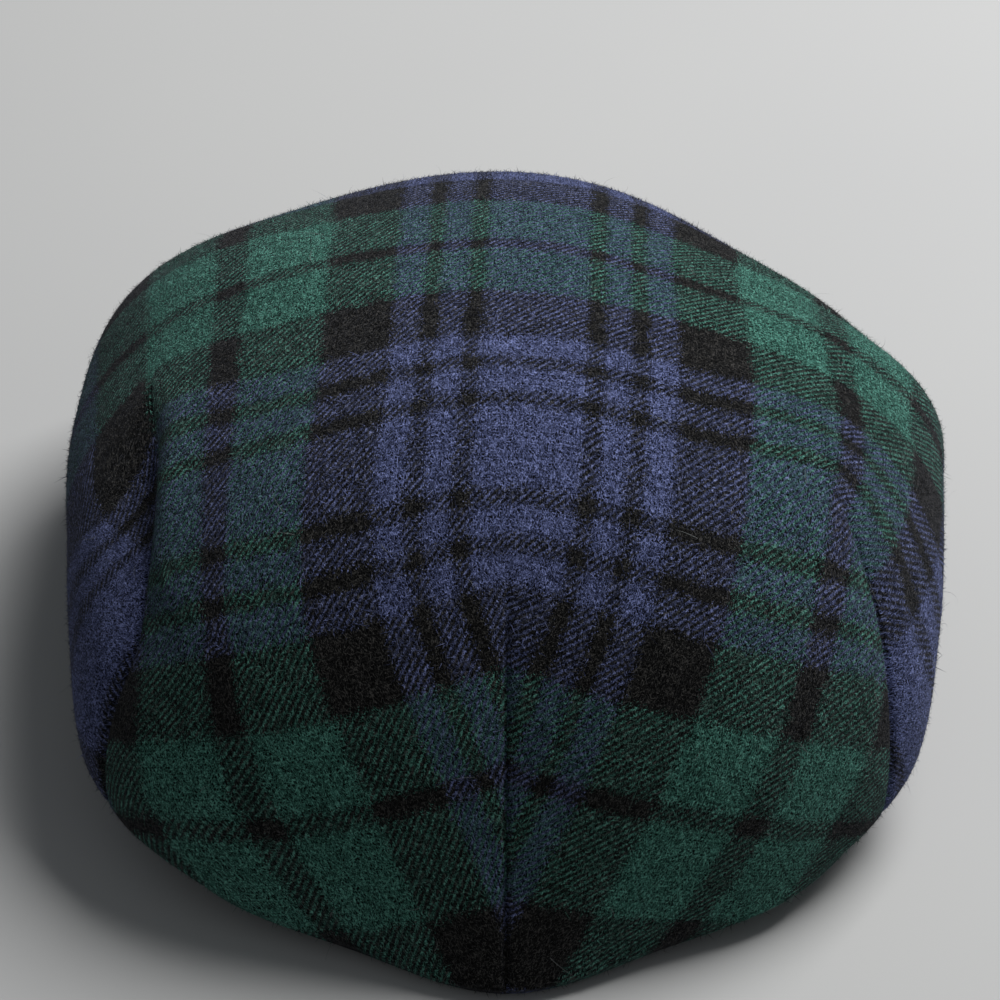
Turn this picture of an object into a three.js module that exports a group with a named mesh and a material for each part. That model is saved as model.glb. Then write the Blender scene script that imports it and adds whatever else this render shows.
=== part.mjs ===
// A soft one-piece flat cap of wool cloth over a stiff peak.
// Millimetres, +Z up. The peak points to -Y, and the rim rests on z = 0 under the middle of the cap.
// Azimuths are degrees from the front towards +X. A level runs from 0 at the rim to 1 at the top.
import * as THREE from 'three';

// Driving sizes
const CROWN_HEIGHT = 113.5;
const CROWN_TOP = { x: -0.2, y: -7.9 };
const CLOTH = 2;
const HEM = 3;
const PEAK_BOARD = 3;
const GAP = 0.3;

// Opening for the head, an ellipse seen from above
const HEAD = { y: 12, halfWidth: 81, halfLength: 97 };

// Half of the cap, by azimuth: its widest line, the wall's lean there, and its lower edge
const PROFILES = [
  { azimuth: 0, reach: 118, height: 5, lean: 63, rimReach: 117, rimHeight: 1 },
  { azimuth: 20, reach: 113.5, height: 8.5, lean: 82, rimReach: 112.5, rimHeight: 4 },
  { azimuth: 40, reach: 119, height: 14.5, lean: 88, rimReach: 117.5, rimHeight: 9 },
  { azimuth: 60, reach: 121, height: 22, lean: 94, rimReach: 110, rimHeight: 5 },
  { azimuth: 75, reach: 116.5, height: 40, lean: 90, rimReach: 93, rimHeight: 0 },
  { azimuth: 90, reach: 116, height: 48.5, lean: 90, rimReach: 84, rimHeight: 0 },
  { azimuth: 110, reach: 125, height: 43, lean: 90, rimReach: 88, rimHeight: 0 },
  { azimuth: 130, reach: 136, height: 42, lean: 90, rimReach: 103, rimHeight: 0 },
  { azimuth: 150, reach: 134, height: 45, lean: 90, rimReach: 114, rimHeight: 0 },
  { azimuth: 180, reach: 134, height: 49, lean: 90, rimReach: 120, rimHeight: 0 },
];

// Where the soft cloth slumps or fills out on one side, as changes to its widest line
const SLUMPS = [
  { azimuth: 136, spread: 24, reach: -9, height: -8.5 },
  { azimuth: 110, spread: 8, reach: 4, height: 3 },
  { azimuth: 40, spread: 18, reach: -1.5, height: 0 },
  { azimuth: -58, spread: 17, reach: 2.5, height: 0 },
  { azimuth: -128, spread: 17, reach: 3, height: 4 },
];

// Darts: each climbs from the level of its foot to that of its tip, and turns on its way
const DARTS = [
  { name: 'centre', azimuth: 0, turn: 0, bow: 1, foot: 0, tip: 0.72, depth: 1.2, width: 5 },
  { name: 'right', azimuth: 53.5, turn: 15.5, bow: 3, foot: 0.02, tip: 0.54, depth: 1.8, width: 7 },
  { name: 'left', azimuth: -56, turn: 0, bow: 1, foot: 0.02, tip: 0.52, depth: 2.5, width: 8 },
];

// Soft folds, which run round the crown from an azimuth and climb a little on their way
const FOLDS = [
  { name: 'left shoulder', azimuth: -40, turn: -56, level: 0.49, climb: 0.05, depth: 5.5, width: 13 },
];

// Section of every dart and fold: how soon it reaches its depth, how sharp it is, and the lips beside it
const CREASE = { onset: 0.45, sharpness: 2, lipHeight: 0.25, lipPlace: 1.6 };
const WALL_LENGTH = 170; // from the rim over the shoulder to the top

// Shape of every profile, as shares of its height or reach
const WIDEST_LEVEL = 0.2; // where the widest line lies
const SHOULDER = 0.41; // how high the wall rises before it turns over
const FLAT_TOP = 0.59; // how flat the top is
const TUCK = 0.45; // how far the wall falls before it turns in under its widest line
const BAND = { reach: 0.12, height: 0.4 }; // the upright band round the head
const HEM_LEVEL = 0.1; // the height of the folded hem

// Peak: where its corners lie, and how far its middle rises towards the forehead
const PEAK_CORNER = 80;
const PEAK_RISE = 15;

// Grid of the faceted solids
const AZIMUTH_STEPS = [0, 2, 4.5, 9, 15, 22, 30, 38, 44, 48, 51, 53.5, 56, 58.5, 61, 64, 67, 70, 73, 76, 80, 84,
  88, 92, 97, 104, 112, 120, 128, 136, 145, 154, 163, 172, 180];
const LEVELS = [0, 0.05, 0.1, 0.15, 0.2, 0.25, 0.3, 0.35, 0.4, 0.44, 0.48, 0.51, 0.54, 0.58, 0.63, 0.69, 0.76,
  0.84, 0.92];
const PEAK_SPANS = { around: 40, across: 5 };
const NORMAL_STEP = { turn: 0.5, climb: 0.004 };

const WOOL = { color: 0x2b3446, roughness: 0.95, metalness: 0 };
const PEAK_WOOL = { color: 0x1d2a2e, roughness: 0.95, metalness: 0 };

const radians = THREE.MathUtils.degToRad;

// A smooth curve through one column of the profiles, level at both ends
function profileValue(column, azimuth) {
  const last = PROFILES.length - 1;
  const at = Math.min(Math.abs(azimuth), PROFILES[last].azimuth);
  let i = 0;
  while (i < last - 1 && at > PROFILES[i + 1].azimuth) i += 1;
  const slope = (k) => {
    if (k === 0 || k === last) return 0;
    const before = PROFILES[k - 1];
    const after = PROFILES[k + 1];
    return (after[column] - before[column]) / (after.azimuth - before.azimuth);
  };
  const span = PROFILES[i + 1].azimuth - PROFILES[i].azimuth;
  const s = (at - PROFILES[i].azimuth) / span;
  const ease = s * s * (3 - 2 * s);
  return (1 - ease) * PROFILES[i][column] + ease * PROFILES[i + 1][column]
    + span * s * (1 - s) * ((1 - s) * slope(i) - s * slope(i + 1));
}

function slumpChange(column, azimuth) {
  let change = 0;
  for (const slump of SLUMPS) {
    const away = THREE.MathUtils.euclideanModulo(azimuth - slump.azimuth + 180, 360) - 180;
    change += slump[column] * Math.exp(-((away / slump.spread) ** 2));
  }
  return change;
}

function aroundTop(azimuth, reach, height) {
  const angle = radians(azimuth);
  return new THREE.Vector3(
    CROWN_TOP.x + reach * Math.sin(angle),
    CROWN_TOP.y - reach * Math.cos(angle),
    height,
  );
}

function bezier(t, a, b, c, d) {
  const s = 1 - t;
  return s * s * s * a + 3 * s * s * t * b + 3 * s * t * t * c + t * t * t * d;
}

function rimHeight(azimuth) {
  return Math.max(0, profileValue('rimHeight', azimuth));
}

// The crown's outer face before it is creased: one curve from the rim to the widest line, one to the top
function smoothPoint(azimuth, level) {
  const reach = profileValue('reach', azimuth) + slumpChange('reach', azimuth);
  const height = profileValue('height', azimuth) + slumpChange('height', azimuth);
  const lean = radians(profileValue('lean', azimuth));
  if (level >= WIDEST_LEVEL) {
    const t = (level - WIDEST_LEVEL) / (1 - WIDEST_LEVEL);
    const rise = SHOULDER * (CROWN_HEIGHT - height);
    return aroundTop(
      azimuth,
      bezier(t, reach, reach - rise / Math.tan(lean), FLAT_TOP * reach, 0),
      bezier(t, height, height + rise, CROWN_HEIGHT, CROWN_HEIGHT),
    );
  }
  const t = level / WIDEST_LEVEL;
  const edge = { reach: profileValue('rimReach', azimuth), height: rimHeight(azimuth) };
  const drop = height - edge.height;
  const tuck = TUCK * drop;
  const bandReach = edge.reach + BAND.reach * (reach - edge.reach);
  return aroundTop(
    azimuth,
    bezier(t, edge.reach, bandReach, reach + tuck / Math.tan(lean), reach),
    bezier(t, edge.height, edge.height + BAND.height * drop, height - tuck, height),
  );
}

function smoothNormal(azimuth, level) {
  if (level >= 1) return new THREE.Vector3(0, 0, 1);
  const { turn, climb } = NORMAL_STEP;
  const low = Math.max(0, level - climb);
  const high = Math.min(1, level + climb);
  const along = smoothPoint(azimuth + turn, level).sub(smoothPoint(azimuth - turn, level));
  const up = smoothPoint(azimuth, high).sub(smoothPoint(azimuth, low));
  return along.cross(up).normalize();
}

// Depth of a crease at a distance from it, with a low lip on either side, fading out at both its ends
function pressed(crease, along, away) {
  if (along < 0 || along > 1) return 0;
  const bell = (distance) => Math.exp(-CREASE.sharpness * distance * distance);
  const fade = Math.min(1, along / CREASE.onset) * (1 - along ** 3);
  const lips = CREASE.lipHeight * bell(Math.abs(away) / crease.width - CREASE.lipPlace);
  return crease.depth * fade * (bell(away / crease.width) - lips);
}

// How far the cloth is pressed in by its darts and folds
function creaseDepth(azimuth, level) {
  const point = smoothPoint(azimuth, level);
  const reach = Math.hypot(point.x - CROWN_TOP.x, point.y - CROWN_TOP.y);
  let depth = 0;
  for (const dart of DARTS) {
    const along = (level - dart.foot) / (dart.tip - dart.foot);
    const line = dart.azimuth + dart.turn * Math.max(0, along) ** dart.bow;
    depth += pressed(dart, along, radians(azimuth - line) * reach);
  }
  for (const fold of FOLDS) {
    const along = (azimuth - fold.azimuth) / fold.turn;
    depth += pressed(fold, along, WALL_LENGTH * (level - fold.level - fold.climb * along));
  }
  return depth;
}

function outerPoint(azimuth, level) {
  const depth = creaseDepth(azimuth, level);
  return smoothPoint(azimuth, level).addScaledVector(smoothNormal(azimuth, level), -depth);
}

// The inner face lies one cloth below the outer, and the hem is folded double above a flat rim
function innerPoint(azimuth, level) {
  if (level === 0) {
    return aroundTop(azimuth, profileValue('rimReach', azimuth) - HEM, rimHeight(azimuth));
  }
  const folded = Math.max(0, 1 - level / HEM_LEVEL);
  const thickness = CLOTH + folded * (HEM - CLOTH);
  return outerPoint(azimuth, level).addScaledVector(smoothNormal(azimuth, level), -thickness);
}

function geometryOf(points, triangles) {
  const geometry = new THREE.BufferGeometry().setFromPoints(points);
  geometry.setIndex(triangles);
  geometry.computeVertexNormals();
  return geometry;
}

function crownGeometry() {
  const right = AZIMUTH_STEPS;
  const left = AZIMUTH_STEPS.slice(1, -1).reverse();
  const azimuths = [...right, ...left.map((azimuth) => -azimuth)];
  const around = azimuths.length;
  const points = [];
  const triangles = [];
  const addFace = (pointAt) => {
    const first = points.length;
    for (const level of LEVELS) {
      for (const azimuth of azimuths) points.push(pointAt(azimuth, level));
    }
    points.push(pointAt(0, 1));
    return first;
  };
  const joinFace = (first, facesOut) => {
    const put = (a, b, c) => triangles.push(...(facesOut ? [a, b, c] : [a, c, b]));
    const top = first + LEVELS.length * around;
    for (let j = 0; j < around; j += 1) {
      const next = (j + 1) % around;
      for (let i = 0; i < LEVELS.length - 1; i += 1) {
        const low = first + i * around;
        const high = low + around;
        put(low + j, low + next, high + next);
        put(low + j, high + next, high + j);
      }
      put(top - around + j, top - around + next, top);
    }
  };
  const outer = addFace(outerPoint);
  const inner = addFace(innerPoint);
  joinFace(outer, true);
  joinFace(inner, false);
  for (let j = 0; j < around; j += 1) {
    const next = (j + 1) % around;
    triangles.push(outer + j, inner + j, inner + next);
    triangles.push(outer + j, inner + next, outer + next);
  }
  return geometryOf(points, triangles);
}

// Distance from the crown's top, seen from above, to the edge of the head opening
function headReach(azimuth) {
  const angle = radians(azimuth);
  const across = Math.sin(angle) / HEAD.halfWidth;
  const along = -Math.cos(angle) / HEAD.halfLength;
  const start = (CROWN_TOP.y - HEAD.y) / HEAD.halfLength;
  const a = across * across + along * along;
  const b = along * start;
  const c = start * start - 1;
  return (-b + Math.sqrt(b * b - a * c)) / a;
}

// A crescent plate: its outer edge lies inside the crown's hem, its inner edge along the forehead
function peakGeometry() {
  const points = [];
  const triangles = [];
  const { around, across } = PEAK_SPANS;
  const rows = across + 1;
  const lower = (i, j) => 2 * (i * rows + j);
  const upper = (i, j) => lower(i, j) + 1;
  for (let i = 0; i <= around; i += 1) {
    const azimuth = THREE.MathUtils.lerp(-PEAK_CORNER, PEAK_CORNER, i / around);
    const outer = profileValue('rimReach', azimuth) - HEM - GAP;
    const inner = headReach(azimuth);
    const rise = PEAK_RISE * Math.cos(radians((90 * azimuth) / PEAK_CORNER)) ** 2;
    for (let j = 0; j <= across; j += 1) {
      const inwards = j / across;
      const reach = THREE.MathUtils.lerp(outer, inner, inwards);
      const height = rimHeight(azimuth) + GAP + rise * Math.sin(radians(90 * inwards));
      points.push(aroundTop(azimuth, reach, height), aroundTop(azimuth, reach, height + PEAK_BOARD));
    }
  }
  const quad = (a, b, c, d) => triangles.push(a, b, c, a, c, d);
  for (let i = 0; i < around; i += 1) {
    for (let j = 0; j < across; j += 1) {
      quad(upper(i, j), upper(i + 1, j), upper(i + 1, j + 1), upper(i, j + 1));
      quad(lower(i, j), lower(i, j + 1), lower(i + 1, j + 1), lower(i + 1, j));
    }
    quad(lower(i, 0), lower(i + 1, 0), upper(i + 1, 0), upper(i, 0));
    quad(lower(i + 1, across), lower(i, across), upper(i, across), upper(i + 1, across));
  }
  for (let j = 0; j < across; j += 1) {
    quad(lower(0, j + 1), lower(0, j), upper(0, j), upper(0, j + 1));
    quad(lower(around, j), lower(around, j + 1), upper(around, j + 1), upper(around, j));
  }
  return geometryOf(points, triangles);
}

function piece(name, geometry, finish) {
  const mesh = new THREE.Mesh(geometry, new THREE.MeshStandardMaterial(finish));
  mesh.name = name;
  return mesh;
}

const cap = new THREE.Group();
cap.add(piece('crown', crownGeometry(), WOOL));
cap.add(piece('peak', peakGeometry(), PEAK_WOOL));

export default cap;
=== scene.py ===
"""The looks of a soft one-piece flat cap: brushed tartan wool over a stiff peak.

Shapes are worked out in millimetres, as the solids are, and turned into metres by MM. Azimuths are degrees
from the front, which faces -Y, towards +X. A level runs from 0 at the rim to 1 at the top of the crown.
"""
import math

import bpy
import numpy as np
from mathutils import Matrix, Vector


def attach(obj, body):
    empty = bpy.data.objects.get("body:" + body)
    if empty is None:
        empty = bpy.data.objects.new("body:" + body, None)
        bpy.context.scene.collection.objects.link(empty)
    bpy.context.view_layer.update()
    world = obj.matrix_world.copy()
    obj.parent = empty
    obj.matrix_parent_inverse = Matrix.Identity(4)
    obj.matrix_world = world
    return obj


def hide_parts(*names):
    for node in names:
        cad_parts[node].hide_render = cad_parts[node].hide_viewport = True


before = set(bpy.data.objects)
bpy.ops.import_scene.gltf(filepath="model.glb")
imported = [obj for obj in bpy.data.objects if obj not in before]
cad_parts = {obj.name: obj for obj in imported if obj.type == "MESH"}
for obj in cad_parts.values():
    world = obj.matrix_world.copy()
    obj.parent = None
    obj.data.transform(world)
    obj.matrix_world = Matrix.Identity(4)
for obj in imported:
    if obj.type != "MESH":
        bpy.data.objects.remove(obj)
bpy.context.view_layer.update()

MM = 0.001
FULL_TURN = 360

# Least lengths and areas, which keep divisions from failing
TINY = 1e-9
SLIVER = 1e-6

# Driving sizes of the crown and the peak, as in the solids
CROWN_HEIGHT = 113.5
CROWN_TOP = (-0.2, -7.9)
CLOTH = 2
HEM = 3
PEAK_BOARD = 3
GAP = 0.3
HEAD = dict(y=12, half_width=81, half_length=97)

# Half of the cap, by azimuth: its widest line, the wall's lean there, and its lower edge
PROFILES = [
    dict(azimuth=0, reach=118, height=5, lean=63, rim_reach=117, rim_height=1),
    dict(azimuth=20, reach=113.5, height=8.5, lean=82, rim_reach=112.5, rim_height=4),
    dict(azimuth=40, reach=119, height=14.5, lean=88, rim_reach=117.5, rim_height=9),
    dict(azimuth=60, reach=121, height=22, lean=94, rim_reach=110, rim_height=5),
    dict(azimuth=75, reach=116.5, height=40, lean=90, rim_reach=93, rim_height=0),
    dict(azimuth=90, reach=116, height=48.5, lean=90, rim_reach=84, rim_height=0),
    dict(azimuth=110, reach=125, height=43, lean=90, rim_reach=88, rim_height=0),
    dict(azimuth=130, reach=136, height=42, lean=90, rim_reach=103, rim_height=0),
    dict(azimuth=150, reach=134, height=45, lean=90, rim_reach=114, rim_height=0),
    dict(azimuth=180, reach=134, height=49, lean=90, rim_reach=120, rim_height=0),
]

# Where the soft cloth slumps or fills out on one side, as changes to its widest line
SLUMPS = [
    dict(azimuth=136, spread=24, reach=-9, height=-8.5),
    dict(azimuth=110, spread=8, reach=4, height=3),
    dict(azimuth=40, spread=18, reach=-1.5, height=0),
    dict(azimuth=-58, spread=17, reach=2.5, height=0),
    dict(azimuth=-128, spread=17, reach=3, height=4),
]

# Darts, where the cloth is cut and sewn, from the level of the foot to that of the tip, and how they turn
DARTS = [
    dict(name="centre", azimuth=0, lean=0, turn=0, bow=1, foot=0, tip=0.72, depth=0.8, width=5),
    dict(name="right", azimuth=53.5, lean=0, turn=19, bow=3, foot=0.02, tip=0.58, depth=1.8, width=7),
    dict(name="left", azimuth=-54.5, lean=-5, turn=-33, bow=20, foot=0.02, tip=0.555, depth=2, width=7),
]
SEAM = dict(depth=1.7, width=1.2, onset=0.2, ending=6)

# Soft folds, which run round the crown from an azimuth and climb a little, steeper on their upper side
FOLDS = [
    dict(name="left shoulder", azimuth=-40, turn=-56, level=0.49, climb=0.055, depth=6.5, width=15, steep=6),
]

# Section of every dart and fold: how it starts and ends, how sharp it is, and the lips beside it
CREASE = dict(onset=0.75, ending=4, sharpness=2, lip_height=0.25, lip_place=1.6)
WALL_LENGTH = 170

# Shape of every profile, as shares of its height or reach
WIDEST_LEVEL = 0.2
SHOULDER = 0.41
FLAT_TOP = 0.59
TUCK = 0.45
BAND = dict(reach=0.12, height=0.4)
HEM_LEVEL = 0.1

# Peak: where its corners lie, how far its middle rises towards the forehead, and its grid
PEAK_CORNER = 80
PEAK_RISE = 15
PEAK_SPANS = dict(around=120, across=16, edge=5)

# Tartan: yarns and their widths, from the middle of the wide blue stripe to where the pattern turns back
WARP = [
    ("blue", 12.9), ("black", 4.6), ("blue", 6.9), ("black", 4.6), ("blue", 6.9), ("black", 19),
    ("green", 22.5), ("black", 8), ("green", 19.5), ("black", 20), ("blue", 27.6),
]
WEFT = [
    ("blue", 10.3), ("black", 5), ("blue", 7.3), ("black", 5), ("blue", 7.6), ("black", 19.7),
    ("green", 19.8), ("black", 5.6), ("green", 24.5), ("black", 22), ("blue", 20), ("black", 5), ("blue", 3),
]
WARP_MIDDLE = 6.8
WEFT_MIDDLE = -33.5
GRAIN_TURN = 2.1

# How the damp cloth was eased over the block in front, at a reach from the top
EASE_REACH = 100
EASE = dict(lean=-1, taper=9, skew=3, drop=4, arch=5)

# Places where it was pulled, from the top of the crown, and how far to the right and back its cloth came
# from. One of them lays a black square of the pattern beside the left fold, partly as painted shade.
PULLS = [
    dict(name="top left", across=-60, behind=55, spread=32, right=-3, back=5),
    dict(name="top right", across=60, behind=55, spread=32, right=4, back=5),
    dict(name="right shoulder", across=95, behind=40, spread=28, right=4, back=5),
    dict(name="left half way", across=-48, behind=2, spread=30, right=-1.5, back=3),
    dict(name="right half way", across=50, behind=20, spread=30, right=1, back=3.5),
    dict(name="left shoulder", across=-93, behind=8, spread=22, right=2, back=-5),
    dict(name="left flank", across=-85, behind=-45, spread=32, right=-3, back=-2),
    dict(name="right flank", across=95, behind=-10, spread=32, right=-6, back=-9),
    dict(name="middle", across=0, behind=-20, spread=35, right=0, back=-2.5),
    dict(name="centre dart", across=0, behind=-80, spread=35, right=1, back=-2),
    dict(name="left of the dart", across=-50, behind=-65, spread=32, right=4, back=1),
    dict(name="left corner", across=-112, behind=-105, spread=30, right=10, back=-3),
    # Partly painted shade: this pull spreads the pattern's black square beside the left crease, which darkens
    # the cloth where the fold's shade falls as well as where black cloth lies
    dict(name="black square and painted shade under the fold", across=-122, behind=-6, spread=20, right=7, back=13),
    dict(name="right side", across=140, behind=-42, spread=28, right=0.5, back=9),
]

# Yarns: colour, and a tone that tells how much two of them darken each other where they cross
YARN = {
    "blue": dict(colour=(0.047, 0.058, 0.128), tone=0),
    "black": dict(colour=(0.0042, 0.0042, 0.004), tone=0.5),
    "green": dict(colour=(0.025, 0.090, 0.070), tone=1),
}
FELTING = dict(power=0.55, darkening=0.32)

# Noises that blur the stripes' edges: their scales, and how far they move a stripe
FINE = dict(scale=1.9, shift=7.0)
BROAD = dict(scale=0.16, shift=2.5)

# Twill: four threads to a repeat, how far its lines wander, how strongly they show, and their height
TWILL = dict(repeat=2.2, wander=1.8, worn=1.1, relief=0.15)

# Felted fibres on the cloth: curly lines of two sizes, drawn out by the brush, and their brightness
STRANDS = [dict(scale=0.85, fineness=11.0), dict(scale=1.4, fineness=9.0)]
BRUSHED = (1.2, 0.8, 1)
FELT = dict(bright=2.4, start=-0.12, least=0.03, pale=0.18, pale_power=4.0)
BUMP = dict(strength=0.7, distance=0.3)

# Raised fibres: how their brightness and paleness vary from one to the next
RAISED = dict(bright=3.6, bright_power=3.0, least=0.2, pale=2.0, pale_power=12.0)

# Colours that the fibres add to the yarns' own, and the finish of the wool
PALE = (0.055, 0.052, 0.048, 1)
LINT_GREY = (0.16, 0.17, 0.17, 1)
WOOL = {"Roughness": 0.95, "Specular IOR Level": 0.1, "Sheen Weight": 0.08, "Sheen Roughness": 0.4,
        "Sheen Tint": (0.78, 0.82, 1.0, 1)}

# Grid of the crown: panels of cloth from dart to dart, and how far its columns lean to run along the darts
PANEL_EDGES = sorted(dart["azimuth"] for dart in DARTS)
PANEL_EDGES.append(PANEL_EDGES[0] + FULL_TURN)
PANEL_SPANS = [84, 84, 236]
CUT_TO = {dart["azimuth"] + turn: dart["tip"] for dart in DARTS for turn in (0, FULL_TURN)}
LEAN_REACH = dict(front=50, back=110)

# Its columns crowd towards the darts, and its levels run from the hem's fold to just under the top
CROWDING = 0.6
LOWEST_LEVEL = 0.012
HIGHEST_LEVEL = 0.985
OUTER_LEVELS = np.concatenate([
    np.linspace(LOWEST_LEVEL, WIDEST_LEVEL, 22)[:-1], np.linspace(WIDEST_LEVEL, HIGHEST_LEVEL, 112)])
INNER_LEVELS = np.linspace(HIGHEST_LEVEL, LOWEST_LEVEL, 34)
HEM_TURNS = [150, 120, 90, 60, 30]

# Grid on which the cloth is laid flat, finer at the levels where the left dart bends
FLAT_SPANS = [14, 14, 44]
BEND_LEVELS = (0.46, 0.6)
FLAT_LEVELS = np.concatenate([
    np.linspace(0, WIDEST_LEVEL, 6)[:-1],
    np.linspace(WIDEST_LEVEL, BEND_LEVELS[0], 9)[:-1],
    np.linspace(*BEND_LEVELS, 13)[:-1],
    np.linspace(BEND_LEVELS[1], 1, 13)])

# How it is laid flat: rounds, weight of the band under the widest line, and least pull of a side
FLAT_ROUNDS = 150
FLAT_BAND_WEIGHT = 0.15
FLAT_LEAST_PULL = 0.05

# Steps that measure the way to the top, and the row of the grid that tells where the front is
FLAT_WAY_STEPS = 40
FLAT_FRONT_ROW = -4

# Fibres raised by the brushing, in millimetres and degrees, a few long stray ones, and some pale lint
NAP = dict(count=150000, segments=1, length=1.9, width=0.17, lift=36, curl=0.5, seed=7)
STRAY = dict(count=700, segments=7, length=6, width=0.07, lift=40, curl=1.1, seed=8)
LINT = dict(count=110, segments=7, length=5, width=0.13, lift=12, curl=1.4, seed=9)

# Every fibre: its least lift, the spread of lengths, how its outer half droops, its taper and its baked spot
FIBRE = dict(least_lift=8, length_spread=0.35, least_droop=0.2, droop=0.9, taper=0.7, spot=0.3)
FLOOR_CLEARANCE = 0.1

# Camera, in millimetres and degrees
CAMERA = dict(elevation=43.5, distance=850, target=(-1.8, -8.6, 60), lens=116.8, sensor=36)

# Studio, in metres: a large soft light, the sky, and the floor
LIGHT = dict(place=(0.64, 0.56, 1.2), target=(0, 0, 0.05), size=0.8, power=27)
SKY = dict(colour=(0.9, 0.95, 1.0, 1), strength=0.15)
FLOOR = dict(half=6, dark=(0.46, 0.46, 0.46, 1), light=(0.50, 0.50, 0.49, 1), grain=40.0, detail=3.0)


def turned(azimuth):
    """The same azimuth between -180 and 180."""
    return np.mod(np.asarray(azimuth, float) + FULL_TURN / 2, FULL_TURN) - FULL_TURN / 2


def profile_value(column, azimuth):
    """A smooth curve through one column of the profiles, level at both ends."""
    knots = np.array([row["azimuth"] for row in PROFILES], float)
    values = np.array([row[column] for row in PROFILES], float)
    slopes = np.zeros_like(values)
    slopes[1:-1] = (values[2:] - values[:-2]) / (knots[2:] - knots[:-2])
    at = np.abs(turned(azimuth))
    i = np.clip(np.searchsorted(knots, at) - 1, 0, len(knots) - 2)
    span = knots[i + 1] - knots[i]
    s = (at - knots[i]) / span
    ease = s * s * (3 - 2 * s)
    bend = (1 - s) * slopes[i] - s * slopes[i + 1]
    return (1 - ease) * values[i] + ease * values[i + 1] + span * s * (1 - s) * bend


def slump_change(column, azimuth):
    change = 0
    for row in SLUMPS:
        away = turned(azimuth - row["azimuth"]) / row["spread"]
        change = change + row[column] * np.exp(-away ** 2)
    return change


def around_top(azimuth, reach, height):
    angle = np.radians(azimuth)
    x = CROWN_TOP[0] + reach * np.sin(angle)
    y = CROWN_TOP[1] - reach * np.cos(angle)
    return np.stack(np.broadcast_arrays(x, y, height), -1)


def bezier(t, a, b, c, d):
    s = 1 - t
    return s ** 3 * a + 3 * s * s * t * b + 3 * s * t * t * c + t ** 3 * d


def rim_height(azimuth):
    return np.maximum(0, profile_value("rim_height", azimuth))


def smooth_point(azimuth, level):
    """The crown's outer face before it is creased: a curve up to the widest line and one above it."""
    reach = profile_value("reach", azimuth) + slump_change("reach", azimuth)
    height = profile_value("height", azimuth) + slump_change("height", azimuth)
    lean = np.radians(profile_value("lean", azimuth))
    up = np.clip((level - WIDEST_LEVEL) / (1 - WIDEST_LEVEL), 0, 1)
    rise = SHOULDER * (CROWN_HEIGHT - height)
    upper_reach = bezier(up, reach, reach - rise / np.tan(lean), FLAT_TOP * reach, 0)
    upper_height = bezier(up, height, height + rise, CROWN_HEIGHT, CROWN_HEIGHT)
    low = np.clip(level / WIDEST_LEVEL, 0, 1)
    edge_reach = profile_value("rim_reach", azimuth)
    edge_height = rim_height(azimuth)
    drop = height - edge_height
    tuck = TUCK * drop
    band_reach = edge_reach + BAND["reach"] * (reach - edge_reach)
    lower_reach = bezier(low, edge_reach, band_reach, reach + tuck / np.tan(lean), reach)
    lower_height = bezier(low, edge_height, edge_height + BAND["height"] * drop, height - tuck, height)
    is_upper = level >= WIDEST_LEVEL
    return around_top(
        azimuth, np.where(is_upper, upper_reach, lower_reach), np.where(is_upper, upper_height, lower_height))


def unit(vectors):
    return vectors / np.maximum(np.linalg.norm(vectors, axis=-1, keepdims=True), TINY)


def smooth_normal(azimuth, level, turn=0.5, climb=0.004):
    level = np.minimum(level, 1 - climb)
    along = smooth_point(azimuth + turn, level) - smooth_point(azimuth - turn, level)
    up = smooth_point(azimuth, level + climb) - smooth_point(azimuth, np.maximum(0, level - climb))
    return unit(np.cross(along, up))


def dart_line(dart, level):
    """How far along a dart a level lies, from 0 at its foot to 1 at its tip, and the dart's azimuth there."""
    along = (level - dart["foot"]) / (dart["tip"] - dart["foot"])
    inside = np.clip(along, 0, 1)
    return along, dart["azimuth"] + dart["lean"] * inside + dart["turn"] * inside ** dart["bow"]


def bell(distance):
    return np.exp(-CREASE["sharpness"] * distance * distance)


def faded(along, kind):
    """Nothing at a crease's foot, all of it from the onset on, and nothing again at its tip."""
    inside = (along >= 0) & (along <= 1)
    along = np.clip(along, 0, 1)
    return inside * np.minimum(1, along / kind["onset"]) ** 2 * (1 - along ** kind["ending"])


def pressed(crease, along, away):
    """Depth of a crease at a distance from it, with a low lip on either side."""
    spread = np.abs(away) / np.where(away > 0, crease.get("steep", crease["width"]), crease["width"])
    lips = CREASE["lip_height"] * bell(spread - CREASE["lip_place"])
    return crease["depth"] * faded(along, CREASE) * (bell(spread) - lips)


def crease_depth(azimuth, level):
    """How far the cloth is pressed in by its darts, their seams and its folds."""
    point = smooth_point(azimuth, level)
    reach = np.hypot(point[..., 0] - CROWN_TOP[0], point[..., 1] - CROWN_TOP[1])
    depth = np.zeros_like(reach)
    for dart in DARTS:
        along, line = dart_line(dart, level)
        bend = dart["lean"] + dart["turn"] * dart["bow"] * np.clip(along, 0, 1) ** (dart["bow"] - 1)
        aslant = np.hypot(1, np.radians(bend) / (dart["tip"] - dart["foot"]) * reach / WALL_LENGTH)
        away = np.radians(turned(azimuth - line)) * reach / aslant
        depth += pressed(dart, along, away)
        depth += SEAM["depth"] * faded(along, SEAM) * bell(away / SEAM["width"])
    for fold in FOLDS:
        along = turned(azimuth - fold["azimuth"]) / fold["turn"]
        away = WALL_LENGTH * (level - fold["level"] - fold["climb"] * along)
        depth += pressed(fold, along, away)
    return depth


def outer_point(azimuth, level):
    depth = crease_depth(azimuth, level)
    return smooth_point(azimuth, level) - smooth_normal(azimuth, level) * depth[..., None]


def inner_point(azimuth, level):
    folded = np.maximum(0, 1 - level / HEM_LEVEL)
    thickness = CLOTH + folded * (HEM - CLOTH)
    return outer_point(azimuth, level) - smooth_normal(azimuth, level) * thickness[..., None]


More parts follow.
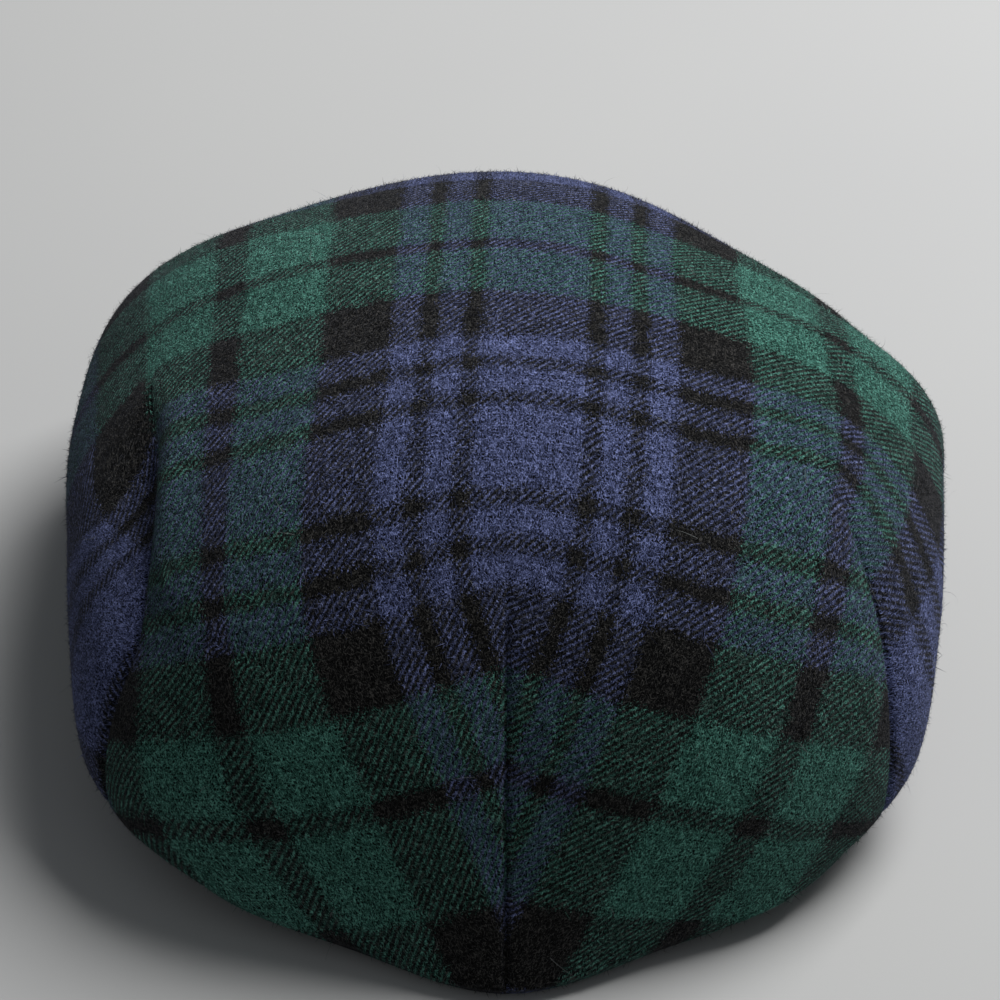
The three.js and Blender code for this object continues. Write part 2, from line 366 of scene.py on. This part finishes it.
def column_azimuth(column, level):
    """Where a column of the grid lies: the columns beside a dart lean with it."""
    azimuth = np.asarray(column, float)
    for dart in DARTS:
        _, line = dart_line(dart, level)
        away = turned(column - dart["azimuth"])
        is_behind = away * np.sign(dart["azimuth"]) > 0
        near = np.minimum(1, np.abs(away) / np.where(is_behind, LEAN_REACH["back"], LEAN_REACH["front"]))
        azimuth = azimuth + (line - dart["azimuth"]) * (0.5 + 0.5 * np.cos(np.pi * near))
    return azimuth


def grid_points(function, columns, levels):
    column, level = np.meshgrid(columns, levels)
    return function(column_azimuth(column, level), level)


def quads(grid):
    """The four corners of each cell of a grid, one row for each cell."""
    corners = [grid[:-1, :-1], grid[:-1, 1:], grid[1:, 1:], grid[1:, :-1]]
    return np.stack(corners, -1).reshape(-1, 4)


def eased(flat):
    """Flat places as the pattern lies on them, after the front of the cloth was eased over the block."""
    across = flat.real / EASE_REACH
    ahead = np.minimum(flat.imag, 0) / EASE_REACH
    right = EASE["lean"] * ahead + EASE["taper"] * across * ahead * (1 + ahead)
    back = EASE["skew"] * across * ahead + EASE["drop"] * ahead ** 2 + EASE["arch"] * across ** 2 * ahead
    return flat + right + 1j * back


def pulled(flat):
    """Eased places, after the soft cloth was pulled this way and that on the block."""
    places = eased(flat)
    shift = 0
    for row in PULLS:
        near = np.exp(-np.abs(places - row["across"] - 1j * row["behind"]) ** 2 / row["spread"] ** 2)
        shift = shift + near * (row["right"] + 1j * row["back"])
    return places + shift


def flatten(panel_columns, levels):
    """Lays the cloth flat, cut open along its darts, with as little stretch as can be.

    Returns one grid of flat places for each panel, as complex numbers in millimetres, with the front towards
    -1j. Each triangle is turned and never stretched, and the places that fit the turned triangles best are
    solved for, again and again.
    """
    index = {}
    columns = []
    heights = []

    def vertex(column, level, panel):
        key = (PANEL_EDGES[0] if column == PANEL_EDGES[-1] else column, level)
        if level >= 1:
            key = "top"
        elif level < CUT_TO.get(column, 0) - TINY:
            key += (panel,)
        if key not in index:
            index[key] = len(columns)
            columns.append(column)
            heights.append(level)
        return index[key]

    grids = [np.array([[vertex(c, lv, panel) for c in row] for lv in levels])
             for panel, row in enumerate(panel_columns)]
    level = np.array(heights)
    azimuth = column_azimuth(np.array(columns), level)
    places = smooth_point(azimuth, level)
    way = level[:, None] + (1 - level[:, None]) * np.linspace(0, 1, FLAT_WAY_STEPS)
    steps = np.diff(smooth_point(azimuth[:, None], way), axis=1)
    flat = np.linalg.norm(steps, axis=2).sum(1) * -1j * np.exp(1j * np.radians(azimuth))
    cells = np.concatenate([quads(grid) for grid in grids])
    tri = np.concatenate([cells[:, [0, 1, 2]], cells[:, [0, 2, 3]]])
    tri = tri[(tri[:, 0] != tri[:, 1]) & (tri[:, 1] != tri[:, 2]) & (tri[:, 0] != tri[:, 2])]
    weight = np.where(level[tri].mean(1) > WIDEST_LEVEL, 1, FLAT_BAND_WEIGHT)

    across = places[tri[:, 1]] - places[tri[:, 0]]
    out = places[tri[:, 2]] - places[tri[:, 0]]
    width = np.linalg.norm(across, axis=1)
    along = (out * across).sum(1) / width
    high = np.sqrt(np.maximum((out ** 2).sum(1) - along ** 2, SLIVER))
    local = np.stack([np.zeros(len(tri)), width, along + 1j * high], 1)

    count = len(columns)
    laplace = np.zeros((count, count))
    sides = []
    for k in range(3):
        i, j = (k + 1) % 3, (k + 2) % 3
        to_i, to_j = local[:, i] - local[:, k], local[:, j] - local[:, k]
        cotangent = (to_i * to_j.conj()).real / np.maximum(np.abs((to_i.conj() * to_j).imag), SLIVER)
        pull = np.maximum(cotangent, FLAT_LEAST_PULL) * weight
        sides.append((tri[:, i], tri[:, j], pull, local[:, i] - local[:, j]))
        np.add.at(laplace, (tri[:, i], tri[:, i]), pull)
        np.add.at(laplace, (tri[:, j], tri[:, j]), pull)
        np.add.at(laplace, (tri[:, i], tri[:, j]), -pull)
        np.add.at(laplace, (tri[:, j], tri[:, i]), -pull)
    free = np.delete(np.arange(count), index["top"])
    inverse = np.linalg.inv(laplace[np.ix_(free, free)])
    for _ in range(FLAT_ROUNDS):
        turn = sum(pull * (flat[i] - flat[j]) * side.conj() for i, j, pull, side in sides)
        turn /= np.maximum(np.abs(turn), TINY)
        force = np.zeros(count, complex)
        for i, j, pull, side in sides:
            np.add.at(force, i, pull * turn * side)
            np.add.at(force, j, -pull * turn * side)
        flat = np.zeros(count, complex)
        flat[free] = inverse @ force[free]
    front = flat[index[(0, levels[FLAT_FRONT_ROW])]]
    flat *= -1j * abs(front) / front * np.exp(1j * math.radians(GRAIN_TURN))
    return [pulled(flat)[grid] for grid in grids]


def blend_matrix(knots, at):
    """Smooth interpolation from values at knots to values at other places, as a matrix."""
    knots = np.asarray(knots, float)
    values = np.eye(len(knots))
    slopes = np.gradient(values, knots, axis=0)
    i = np.clip(np.searchsorted(knots, at, side="right") - 1, 0, len(knots) - 2)
    span = (knots[i + 1] - knots[i])[:, None]
    s = (at - knots[i])[:, None] / span
    ease = s * s * (3 - 2 * s)
    bend = (1 - s) * slopes[i] - s * slopes[i + 1]
    return (1 - ease) * values[i] + ease * values[i + 1] + span * s * (1 - s) * bend


def cloth_panels():
    """Each panel's columns, and a function from levels to the flat places of the cloth along them."""
    levels = FLAT_LEVELS.copy()
    for value in CUT_TO.values():
        levels[np.abs(levels - value).argmin()] = value
    edges = list(zip(PANEL_EDGES[:-1], PANEL_EDGES[1:]))
    knots = [np.linspace(a, b, spans + 1) for (a, b), spans in zip(edges, FLAT_SPANS)]
    panels = []
    for (a, b), spans, knot, flat in zip(edges, PANEL_SPANS, knots, flatten(knots, levels)):
        s = np.linspace(0, 1, spans + 1)
        columns = a + (b - a) * (s - CROWDING * np.sin(2 * np.pi * s) / (2 * np.pi))
        columns[-1] = b
        across = flat @ blend_matrix(knot, columns).T
        panels.append((columns, lambda at, across=across: blend_matrix(levels, at) @ across))
    return panels


def hem_points(columns):
    """A rounded fold of cloth under the rim, from the inner face to the outer."""
    inner = grid_points(inner_point, columns, INNER_LEVELS[-1:])[0]
    outer = grid_points(outer_point, columns, OUTER_LEVELS[:1])[0]
    middle = (inner + outer) / 2
    drop = middle[:, 2] - rim_height(column_azimuth(columns, LOWEST_LEVEL))
    down = np.stack([0 * drop, 0 * drop, drop], -1)
    turns = np.radians(HEM_TURNS)
    return np.stack([middle + (outer - inner) / 2 * np.cos(turn) - down * np.sin(turn) for turn in turns])


def new_piece(name, points, blocks, material, maps):
    """An object from points in millimetres and blocks of faces, each block an array with a row for each face.

    The maps give flat places, as complex numbers, for the corners of the faces in the same order.
    """
    corners = np.concatenate([block.ravel() for block in blocks]).astype(np.int32)
    sizes = np.concatenate([np.full(len(block), block.shape[1]) for block in blocks])
    mesh = bpy.data.meshes.new(name)
    mesh.vertices.add(len(points))
    mesh.vertices.foreach_set("co", (points * MM).astype(np.float32).ravel())
    mesh.loops.add(len(corners))
    mesh.loops.foreach_set("vertex_index", corners)
    mesh.polygons.add(len(sizes))
    mesh.polygons.foreach_set("loop_start", (np.cumsum(sizes) - sizes).astype(np.int32))
    mesh.update(calc_edges=True)
    for map_name, places in maps.items():
        layer = mesh.uv_layers.new(name=map_name)
        layer.data.foreach_set("uv", np.stack([places.real, places.imag], -1).astype(np.float32).ravel())
    mesh.shade_smooth()
    mesh.materials.append(material)
    piece = bpy.data.objects.new(name, mesh)
    bpy.context.scene.collection.objects.link(piece)
    return piece


def crown_piece(panels, material):
    """The crown as one closed mesh, row by row from its inner top, round the hem, to its outer top."""
    columns = np.concatenate([panel_columns[:-1] for panel_columns, _ in panels])
    around = len(columns)
    rows = np.concatenate([
        grid_points(inner_point, columns, INNER_LEVELS),
        hem_points(columns),
        grid_points(outer_point, columns, OUTER_LEVELS)])
    hem_levels = np.linspace(-LOWEST_LEVEL, LOWEST_LEVEL, len(HEM_TURNS) + 1)[:-1]
    row_levels = np.concatenate([INNER_LEVELS, hem_levels, OUTER_LEVELS])
    top = np.array([*CROWN_TOP, CROWN_HEIGHT], float)
    points = np.concatenate([rows.reshape(-1, 3), [top - (0, 0, CLOTH), top]])
    inner_top, outer_top = len(points) - 2, len(points) - 1
    last_row = (len(rows) - 1) * around
    cells = []
    cell_places = []
    caps = []
    cap_places = []
    first = 0
    for panel_columns, cloth in panels:
        ring = (first + np.arange(len(panel_columns))) % around
        places = cloth(row_levels)
        cells.append(quads(ring + around * np.arange(len(rows))[:, None]))
        cell_places.append(quads(places))
        for j in range(len(ring) - 1):
            caps.append((ring[j + 1], ring[j], inner_top))
            caps.append((last_row + ring[j], last_row + ring[j + 1], outer_top))
            cap_places += [places[0, j + 1], places[0, j], 0, places[-1, j], places[-1, j + 1], 0]
        first += len(panel_columns) - 1
    blocks = [np.concatenate(cells), np.array(caps)]
    maps = {"cloth": np.concatenate([np.concatenate(cell_places).ravel(), np.array(cap_places)])}
    return new_piece("crown_cloth", points, blocks, material, maps)


def head_reach(azimuth):
    """Distance from the crown's top, seen from above, to the edge of the head opening."""
    angle = np.radians(azimuth)
    across = np.sin(angle) / HEAD["half_width"]
    along = -np.cos(angle) / HEAD["half_length"]
    start = (CROWN_TOP[1] - HEAD["y"]) / HEAD["half_length"]
    a = across ** 2 + along ** 2
    b = along * start
    return (np.sqrt(b * b - a * (start ** 2 - 1)) - b) / a


def peak_piece(material):
    """A crescent board covered in cloth: its section runs in above, round the inner edge and back below."""
    azimuth = np.linspace(-PEAK_CORNER, PEAK_CORNER, PEAK_SPANS["around"] + 1)
    outer = profile_value("rim_reach", azimuth) - HEM - GAP
    inner = head_reach(azimuth)
    rise = PEAK_RISE * np.cos(np.radians(90 * azimuth / PEAK_CORNER)) ** 2
    half = PEAK_BOARD / 2
    inwards = np.linspace(0, 1, PEAK_SPANS["across"] + 1)
    turn = np.linspace(90, -90, PEAK_SPANS["edge"] + 2)[1:-1]
    section = [(s, 0, half) for s in inwards]
    section += [(1, np.cos(np.radians(t)) * half, np.sin(np.radians(t)) * half) for t in turn]
    section += [(s, 0, -half) for s in inwards[::-1]]
    section += [(0, -np.cos(np.radians(t)) * half, np.sin(np.radians(t)) * half) for t in turn[::-1]]
    rows = []
    for s, over, up in section:
        reach = (1 - s) * (outer - half) + s * (inner + half) - over
        height = rim_height(azimuth) + GAP + half + rise * math.sin(math.pi / 2 * s) + up
        rows.append(around_top(azimuth, reach, height))
    grid = np.stack(rows + rows[:1])
    ring = np.arange(len(rows) + 1) % len(rows)
    indices = ring[:, None] * len(azimuth) + np.arange(len(azimuth))
    points = np.stack(rows).reshape(-1, 3)
    places = grid[..., 0] + 1j * grid[..., 1]
    ends = np.stack([indices[:-1, 0][::-1], indices[:-1, -1]])
    end_places = np.concatenate([places[:-1, 0][::-1], places[:-1, -1]])
    maps = {"cloth": np.concatenate([quads(places).ravel(), end_places])}
    return new_piece("peak_cloth", points, [quads(indices), ends], material, maps)


def rooted(panels, count, random):
    """Places spread evenly over the outer face: points, normals and flat places of the cloth."""
    corners = []
    corner_normals = []
    corner_places = []
    for columns, cloth in panels:
        grid = grid_points(outer_point, columns, OUTER_LEVELS)
        normals = unit(np.cross(np.gradient(grid, axis=1), np.gradient(grid, axis=0)))
        for store, values in ((corners, grid), (corner_normals, normals)):
            store.append(np.stack([quads(values[..., k]) for k in range(3)], -1))
        corner_places.append(quads(cloth(OUTER_LEVELS)))
    corners = np.concatenate(corners)
    area = np.linalg.norm(np.cross(corners[:, 1] - corners[:, 0], corners[:, 3] - corners[:, 0]), axis=1)
    cell = random.choice(len(area), count, p=area / area.sum())
    s, t = random.random((2, count))
    share = np.stack([(1 - s) * (1 - t), s * (1 - t), s * t, (1 - s) * t], 1)
    root = (corners[cell] * share[..., None]).sum(1)
    normal = unit((np.concatenate(corner_normals)[cell] * share[..., None]).sum(1))
    return root, normal, (np.concatenate(corner_places)[cell] * share).sum(1)


def nap_piece(name, panels, material, kind):
    """Raised fibres all over the crown, each a thin tapered ribbon that bends over, coloured by its root."""
    random = np.random.default_rng(kind["seed"])
    count = kind["count"]
    segments = kind["segments"]
    root, normal, place = rooted(panels, count, random)
    along = unit(np.cross(normal, random.normal(size=(count, 3))))
    side = np.cross(normal, along)
    length = kind["length"] * np.exp(random.normal(0, FIBRE["length_spread"], (count, 1)))
    lift = np.radians(FIBRE["least_lift"] + kind["lift"] * random.random((count, 1)) ** 3)
    droop = lift * (FIBRE["least_droop"] + FIBRE["droop"] * random.random((count, 1)))
    swing = random.normal(0, kind["curl"], (count, 1))
    bend = root + length / 2 * (along * np.cos(lift) + normal * np.sin(lift))
    onward = along * np.cos(swing) + side * np.sin(swing)
    tip = bend + length / 2 * (onward * np.cos(lift - droop) + normal * np.sin(lift - droop))
    rows = []
    for t in np.linspace(0, 1, segments + 1)[:-1]:
        middle = (1 - t) ** 2 * root + 2 * t * (1 - t) * bend + t * t * tip
        half = kind["width"] / 2 * (1 - FIBRE["taper"] * t) * side
        rows += [middle - half, middle + half]
    points = np.stack(rows + [tip], 1)
    points[..., 2] = np.maximum(points[..., 2], FLOOR_CLEARANCE)
    first = points.shape[1] * np.arange(count)[:, None]
    stems = [first + 2 * k + [0, 1, 3, 2] for k in range(segments - 1)]
    tips = first + 2 * (segments - 1) + [0, 1, 2]
    side_count = math.ceil(math.sqrt(count))
    spot = (np.arange(count) % side_count + 0.5 + 1j * (np.arange(count) // side_count + 0.5)) / side_count
    square = FIBRE["spot"] / side_count * np.array([-1 - 1j, 1 - 1j, 1 + 1j, -1 + 1j])
    stem_spots = (spot[:, None] + square).ravel()
    tip_spots = (spot[:, None] + square[:3]).ravel()
    maps = {
        "cloth": np.concatenate([np.repeat(place, 4)] * (segments - 1) + [np.repeat(place, 3)]),
        "OFBake": np.concatenate([stem_spots] * (segments - 1) + [tip_spots])}
    return new_piece(name, points.reshape(-1, 3), stems + [tips], material, maps)


class Shader:
    """A material's nodes, added one by one. An input is a number, a colour or another node's output."""

    def __init__(self, name):
        self.material = bpy.data.materials.new(name)
        self.material.use_nodes = True
        self.tree = self.material.node_tree
        self.tree.nodes.clear()

    def add(self, kind, inputs=(), output=0, **settings):
        node = self.tree.nodes.new("ShaderNode" + kind)
        for name, value in settings.items():
            setattr(node, name, value)
        for key, value in dict(inputs).items():
            if isinstance(value, bpy.types.NodeSocket):
                self.tree.links.new(value, node.inputs[key])
            else:
                node.inputs[key].default_value = value
        return node.outputs[output] if node.outputs else node

    def calc(self, operation, *values):
        return self.add("Math", dict(enumerate(values)), operation=operation)

    def mix(self, share, a, b, blend="MIX"):
        """Two colours mixed. The node has them at inputs 6 and 7, and the mixed one at output 2."""
        inputs = {0: share, 6: a, 7: b}
        return self.add("Mix", inputs, 2, data_type="RGBA", blend_type=blend, clamp_factor=True)

    def noise(self, vector, scale, detail=2.0, output=0):
        inputs = {"Vector": vector, "Scale": scale, "Detail": detail}
        return self.add("TexNoise", inputs, output, noise_dimensions="2D")

    def parts(self, vector):
        """The three parts of a vector."""
        return self.add("SeparateXYZ", {0: vector}).node.outputs

    def shifted(self, value, noise, shift):
        """A value moved to and fro by a noise that lies round a half."""
        return self.calc("MULTIPLY_ADD", self.calc("SUBTRACT", noise, 0.5), shift, value)

    def stripes(self, place, table):
        """The yarn's colour, raised to a power, and its tone, at a place from the middle of the pattern."""
        total = sum(width for _, width in table)
        folded = self.calc("PINGPONG", place, total)
        ramp = self.tree.nodes.new("ShaderNodeValToRGB")
        ramp.color_ramp.interpolation = "CONSTANT"
        stops = ramp.color_ramp.elements
        start = 0
        for k, (name, width) in enumerate(table):
            yarn = YARN[name]
            stop = stops[k] if k < len(stops) else stops.new(start / total)
            stop.position = start / total
            stop.color = (*(part ** FELTING["power"] for part in yarn["colour"]), yarn["tone"])
            start += width
        self.tree.links.new(self.calc("DIVIDE", folded, total), ramp.inputs[0])
        return ramp.outputs[0], ramp.outputs[1]


def tartan(shader, cloth):
    """The tartan's colour at a place on the cloth, with soft edges, and the twill's height there.

    Felted yarns darken each other where they cross, so powers of their colours are mixed.
    """
    place = shader.parts(cloth)
    fine = shader.parts(shader.noise(cloth, FINE["scale"], output=1))
    broad = shader.parts(shader.noise(cloth, BROAD["scale"], output=1))
    sets = []
    for k, table, middle in ((0, WARP, WARP_MIDDLE), (1, WEFT, WEFT_MIDDLE)):
        moved = shader.shifted(place[k], fine[k], FINE["shift"])
        moved = shader.shifted(moved, broad[k], BROAD["shift"])
        sets.append(shader.stripes(shader.calc("SUBTRACT", moved, middle), table))
    (warp, warp_tone), (weft, weft_tone) = sets
    wander = shader.shifted(place[0], fine[2], TWILL["wander"])
    diagonal = shader.calc("DIVIDE", shader.calc("SUBTRACT", wander, place[1]), TWILL["repeat"])
    wave = shader.calc("SINE", shader.calc("MULTIPLY", diagonal, 2 * math.pi))
    worn = shader.calc("MULTIPLY", broad[2], TWILL["worn"])
    over = shader.calc("MULTIPLY_ADD", wave, worn, 0.5)
    mixed = shader.add("Gamma", {"Color": shader.mix(over, weft, warp), "Gamma": 1 / FELTING["power"]})
    apart = shader.calc("ABSOLUTE", shader.calc("SUBTRACT", warp_tone, weft_tone))
    crossed = shader.calc("MAXIMUM", shader.calc("MULTIPLY_ADD", apart, 2.0, -1.0), 0.0)
    kept = shader.calc("MULTIPLY_ADD", crossed, -FELTING["darkening"], 1.0)
    return shader.mix(1.0, mixed, kept, "MULTIPLY"), wave


def strands(shader, cloth, scale, fineness):
    """Bright curly lines like felted fibres, from 0 between them to 1 along them."""
    brushed = shader.add("Mapping", {"Vector": cloth, "Scale": BRUSHED})
    level = shader.noise(brushed, scale, detail=1.5)
    away = shader.calc("ABSOLUTE", shader.calc("SUBTRACT", level, 0.5))
    return shader.calc("MAXIMUM", shader.calc("MULTIPLY_ADD", away, -fineness, 1.0), 0.0)


def wool(name, raised=False):
    """Brushed tartan twill. The raised fibres take one colour each, from the place where they are rooted."""
    shader = Shader(name)
    cloth = shader.add("UVMap", uv_map="cloth")
    colour, wave = tartan(shader, cloth)
    inputs = dict(WOOL)
    if raised:
        chance = shader.add("TexWhiteNoise", {"Vector": cloth}, noise_dimensions="2D")
        lit = shader.calc("POWER", chance, RAISED["bright_power"])
        bright = shader.calc("MULTIPLY_ADD", lit, RAISED["bright"], RAISED["least"])
        pale = shader.calc("MULTIPLY", shader.calc("POWER", chance, RAISED["pale_power"]), RAISED["pale"])
    else:
        fibres = shader.calc("ADD", *[strands(shader, cloth, **row) for row in STRANDS])
        lit = shader.calc("MULTIPLY_ADD", fibres, FELT["bright"], FELT["start"])
        bright = shader.calc("MAXIMUM", lit, FELT["least"])
        pale = shader.calc("MULTIPLY", shader.calc("POWER", fibres, FELT["pale_power"]), FELT["pale"])
        height = shader.calc("MULTIPLY_ADD", wave, TWILL["relief"], fibres)
        relief = {"Strength": BUMP["strength"], "Distance": BUMP["distance"] * MM, "Height": height}
        inputs["Normal"] = shader.add("Bump", relief)
    colour = shader.mix(1.0, colour, bright, "MULTIPLY")
    inputs["Base Color"] = shader.mix(pale, colour, PALE, "ADD")
    surface = shader.add("BsdfPrincipled", inputs)
    shader.add("OutputMaterial", {"Surface": surface})
    return shader.material


def lint_material():
    shader = Shader("lint")
    surface = shader.add("BsdfPrincipled", {"Base Color": LINT_GREY, "Roughness": 0.9})
    shader.add("OutputMaterial", {"Surface": surface})
    return shader.material


def floor_material():
    shader = Shader("floor_paint")
    grain = shader.add("TexNoise", {"Scale": FLOOR["grain"], "Detail": FLOOR["detail"]})
    colour = shader.mix(grain, FLOOR["dark"], FLOOR["light"])
    surface = shader.add("BsdfPrincipled", {"Base Color": colour, "Roughness": 0.8})
    shader.add("OutputMaterial", {"Surface": surface})
    return shader.material


def make_floor():
    half = FLOOR["half"]
    corners = [(-half, -half, 0), (half, -half, 0), (half, half, 0), (-half, half, 0)]
    mesh = bpy.data.meshes.new("floor")
    mesh.from_pydata(corners, [], [(0, 1, 2, 3)])
    mesh.materials.append(floor_material())
    floor = bpy.data.objects.new("floor", mesh)
    bpy.context.scene.collection.objects.link(floor)


def make_light():
    data = bpy.data.lights.new("overhead", "AREA")
    data.size = LIGHT["size"]
    data.energy = LIGHT["power"]
    light = bpy.data.objects.new("overhead", data)
    light.location = LIGHT["place"]
    aim = Vector(LIGHT["target"]) - Vector(LIGHT["place"])
    light.rotation_euler = aim.to_track_quat("-Z", "Y").to_euler()
    bpy.context.scene.collection.objects.link(light)


def make_camera():
    data = bpy.data.cameras.new("camera")
    data.sensor_fit = "HORIZONTAL"
    data.sensor_width = CAMERA["sensor"]
    data.lens = CAMERA["lens"]
    camera = bpy.data.objects.new("camera", data)
    angle = math.radians(CAMERA["elevation"])
    target = Vector(CAMERA["target"])
    away = Vector((0, -math.cos(angle), math.sin(angle)))
    camera.location = (target + away * CAMERA["distance"]) * MM
    camera.rotation_euler = (-away).to_track_quat("-Z", "Y").to_euler()
    bpy.context.scene.collection.objects.link(camera)
    bpy.context.scene.camera = camera


def make_studio():
    scene = bpy.context.scene
    scene.view_settings.view_transform = "Standard"
    scene.world = bpy.data.worlds.new("studio")
    scene.world.use_nodes = True
    background = scene.world.node_tree.nodes["Background"]
    background.inputs["Color"].default_value = SKY["colour"]
    background.inputs["Strength"].default_value = SKY["strength"]
    make_light()
    make_floor()
    make_camera()


make_studio()
panels = cloth_panels()

crown = crown_piece(panels, wool("crown_wool"))
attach(crown, "root")
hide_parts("crown")

nap_wool = wool("nap_wool", raised=True)
for name, kind, material in (
        ("crown_nap", NAP, nap_wool),
        ("crown_stray_fibres", STRAY, nap_wool),
        ("crown_lint", LINT, lint_material())):
    fibres = nap_piece(name, panels, material, kind)
    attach(fibres, "root")

peak = peak_piece(wool("peak_wool"))
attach(peak, "root")
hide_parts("peak")
